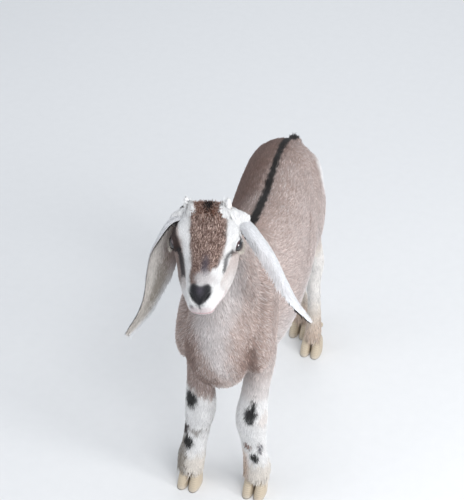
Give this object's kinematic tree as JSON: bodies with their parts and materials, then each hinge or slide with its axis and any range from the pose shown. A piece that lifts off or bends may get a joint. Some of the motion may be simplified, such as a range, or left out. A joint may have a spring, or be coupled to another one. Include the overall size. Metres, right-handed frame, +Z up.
{
  "type": "young Anglo-Nubian goat, still life-size model",
  "caption": "Young Anglo-Nubian goat standing, fawn with white stripes on the face, long white hanging ears, pale legs and a dark line along the back.",
  "frame": {"origin": "centre of the standing animal's box, on the floor under the soles", "axes": "+Z up, the goat faces -Y, its left side is +X"},
  "size_m": [0.2062, 0.5346, 0.5272],
  "materials": {
    "fawn_coat": "short greyish fawn hair with a pinkish cast",
    "dark_coat": "short mid brown hair",
    "white_coat": "short white hair",
    "cream_coat": "short cream hair",
    "hoof": "satin grey-brown horn",
    "eye": "wet dark brown eye"
  },
  "bodies": {
    "root": {"fore_hoof_outer_left": "hoof", "fore_dewclaw_outer_left": "hoof", "fore_hoof_inner_left": "hoof", "fore_dewclaw_inner_left": "hoof", "fore_hoof_outer_right": "hoof", "fore_dewclaw_outer_right": "hoof", "fore_hoof_inner_right": "hoof", "fore_dewclaw_inner_right": "hoof", "hind_hoof_outer_left": "hoof", "hind_dewclaw_outer_left": "hoof", "hind_hoof_inner_left": "hoof", "hind_dewclaw_inner_left": "hoof", "hind_hoof_outer_right": "hoof", "hind_dewclaw_outer_right": "hoof", "hind_hoof_inner_right": "hoof", "hind_dewclaw_inner_right": "hoof", "foreleg_lower_left": "white_coat", "foreleg_lower_right": "white_coat", "hindleg_lower_left": "cream_coat", "hindleg_lower_right": "cream_coat", "foreleg_upper_left": "fawn_coat", "foreleg_upper_right": "fawn_coat", "hindleg_upper_left": "fawn_coat", "hindleg_upper_right": "fawn_coat", "neck": "dark_coat", "torso": "fawn_coat", "tail": "dark_coat", "eye_left": "eye", "horn_bud_left": "dark_coat", "ear_left": "white_coat", "eye_right": "eye", "horn_bud_right": "dark_coat", "ear_right": "white_coat", "head": "white_coat"}
  },
  "joints": []
}
